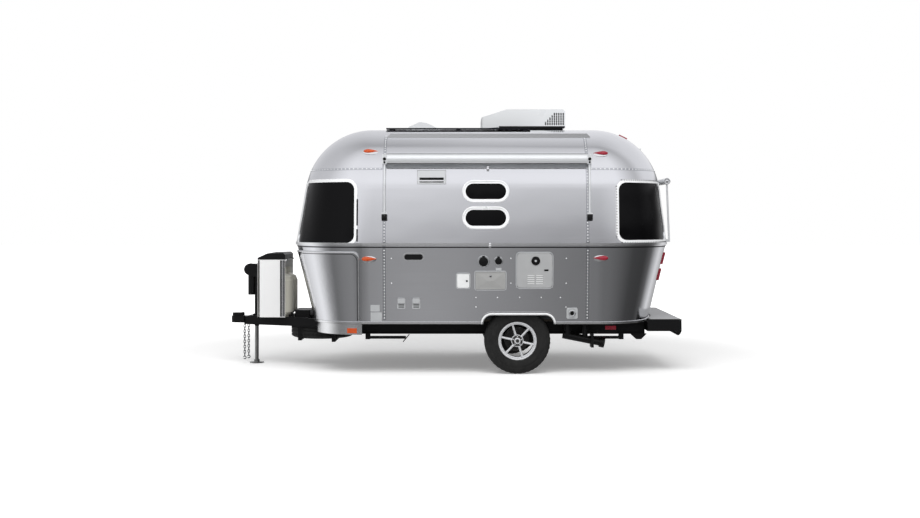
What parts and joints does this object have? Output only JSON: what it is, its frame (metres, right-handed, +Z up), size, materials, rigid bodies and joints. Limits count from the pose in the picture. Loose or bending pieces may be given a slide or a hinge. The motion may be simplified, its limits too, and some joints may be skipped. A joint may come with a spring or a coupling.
{
  "type": "travel caravan",
  "caption": "Single-axle travel caravan with a rounded riveted aluminium body, A-frame tongue, parked on its wheels and tongue jack.",
  "frame": {"origin": "on the ground under the middle of the overall length and width", "axes": "+X to the rear, -Y the street side with the service doors, +Z up"},
  "size_m": [5.07, 2.486, 2.914],
  "materials": {
    "polished_aluminium": "polished sheet",
    "bright_trim": "bright extrusion",
    "tinted_glass": "near-black tinted",
    "black_steel": "satin black",
    "zinc_steel": "zinc plated",
    "tyre_rubber": "matte",
    "alloy": "machined",
    "cast_iron": "raw",
    "white_plastic": "gloss",
    "grey_lid": "satin",
    "locker_grey": "satin",
    "white_lid": "satin",
    "plywood": "sheet",
    "galvanised": "dull",
    "silver_cover": "satin",
    "dark_plastic": "matte",
    "pale_bottle": "satin",
    "solar_black": "gloss",
    "awning_grey": "satin",
    "amber_lens": "clear",
    "red_lens": "clear",
    "port_grey": "satin"
  },
  "bodies": {
    "trailer": {"amber_lamps": "amber_lens", "awning_curb": "awning_grey", "awning_street": "awning_grey", "axle": "black_steel", "battery_box": "dark_plastic", "belt_rail": "bright_trim", "coupler": "black_steel", "door_hinges": "bright_trim", "floor_deck": "plywood", "frame_rails": "black_steel", "front_cap": "polished_aluminium", "front_lower": "polished_aluminium", "gas_bottles": "pale_bottle", "gas_cover": "silver_cover", "lower_trim": "bright_trim", "lower_wall_left": "polished_aluminium", "lower_wall_right": "polished_aluminium", "rear_awning": "awning_grey", "rear_bumper": "black_steel", "rear_cap": "polished_aluminium", "rear_lower": "polished_aluminium", "red_lamps": "red_lens", "roof": "polished_aluminium", "roof_ac": "white_plastic", "roof_fan": "white_plastic", "roof_rails": "bright_trim", "safety_chains": "zinc_steel", "solar_panel": "solar_black", "spare_rim": "galvanised", "spare_tyre": "tyre_rubber", "stone_guards": "polished_aluminium", "tongue_frame": "black_steel", "tongue_jack": "black_steel", "upper_wall_left": "polished_aluminium", "upper_wall_right": "polished_aluminium", "wall_ports": "port_grey", "waste_outlet": "dark_plastic", "wheel_wells": "galvanised", "window_frames": "bright_trim", "window_glass": "tinted_glass"},
    "wheel_left": {"tyre_left": "tyre_rubber", "rim_left": "alloy", "brake_drum_left": "cast_iron"},
    "wheel_right": {"tyre_right": "tyre_rubber", "rim_right": "alloy", "brake_drum_right": "cast_iron"},
    "jack_leg": {"jack_leg": "zinc_steel"},
    "entry_door": {"entry_door": "polished_aluminium", "door_glass": "tinted_glass"},
    "entry_step": {"entry_step": "black_steel"},
    "heater_door": {"heater_door": "grey_lid"},
    "locker_door": {"locker_door": "locker_grey"},
    "fill_door": {"fill_door": "white_lid"},
    "gas_lid": {"gas_lid": "dark_plastic"},
    "bumper_lid": {"bumper_lid": "grey_lid"},
    "drop_leg_front_left": {"drop_leg_front_left": "black_steel"},
    "drop_leg_front_right": {"drop_leg_front_right": "black_steel"},
    "drop_leg_rear_left": {"drop_leg_rear_left": "black_steel"},
    "drop_leg_rear_right": {"drop_leg_rear_right": "black_steel"}
  },
  "joints": [
    {"name": "wheel_left_spin", "type": "hinge", "parent": "trailer", "child": "wheel_left", "pos_m": [0.737, -0.9575, 0.3575], "axis": [0, 1, 0], "continuous": true},
    {"name": "wheel_right_spin", "type": "hinge", "parent": "trailer", "child": "wheel_right", "pos_m": [0.737, 0.9575, 0.3575], "axis": [0, 1, 0], "continuous": true},
    {"name": "jack_slide", "type": "slide", "parent": "trailer", "child": "jack_leg", "axis": [0, 0, 1], "range_m": [0, 0.3]},
    {"name": "entry_door_swing", "type": "hinge", "parent": "trailer", "child": "entry_door", "pos_m": [-0.497, 1.234, 0], "axis": [0, 0, 1], "range_deg": [0, 110]},
    {"name": "entry_step_slide", "type": "slide", "parent": "trailer", "child": "entry_step", "axis": [0, 1, 0], "range_m": [0, 0.26]},
    {"name": "heater_door_swing", "type": "hinge", "parent": "trailer", "child": "heater_door", "pos_m": [0.912, -1.18481, 0.94114], "axis": [1, 0, 0], "range_deg": [0, 100]},
    {"name": "locker_door_swing", "type": "hinge", "parent": "trailer", "child": "locker_door", "pos_m": [0.443, -1.20014, 1.10014], "axis": [-1, 0, 0], "range_deg": [0, 100]},
    {"name": "fill_door_swing", "type": "hinge", "parent": "trailer", "child": "fill_door", "pos_m": [0.1535, -1.19812, 1.07914], "axis": [-1, 0, 0], "range_deg": [0, 100]},
    {"name": "gas_lid_swing", "type": "hinge", "parent": "trailer", "child": "gas_lid", "pos_m": [-1.859, 0, 1.206], "axis": [0, 1, 0], "range_deg": [0, 80]},
    {"name": "bumper_lid_swing", "type": "hinge", "parent": "trailer", "child": "bumper_lid", "pos_m": [2.522, 0, 0.57], "axis": [0, 1, 0], "range_deg": [0, 170]},
    {"name": "drop_leg_front_left_swing", "type": "hinge", "parent": "trailer", "child": "drop_leg_front_left", "pos_m": [-0.9, -0.675, 0.36], "axis": [0, 1, 0], "range_deg": [0, 50]},
    {"name": "drop_leg_front_right_swing", "type": "hinge", "parent": "trailer", "child": "drop_leg_front_right", "pos_m": [-0.9, 0.675, 0.36], "axis": [0, 1, 0], "range_deg": [0, 50]},
    {"name": "drop_leg_rear_left_swing", "type": "hinge", "parent": "trailer", "child": "drop_leg_rear_left", "pos_m": [1.9, -0.675, 0.36], "axis": [0, -1, 0], "range_deg": [0, 50]},
    {"name": "drop_leg_rear_right_swing", "type": "hinge", "parent": "trailer", "child": "drop_leg_rear_right", "pos_m": [1.9, 0.675, 0.36], "axis": [0, -1, 0], "range_deg": [0, 50]}
  ]
}
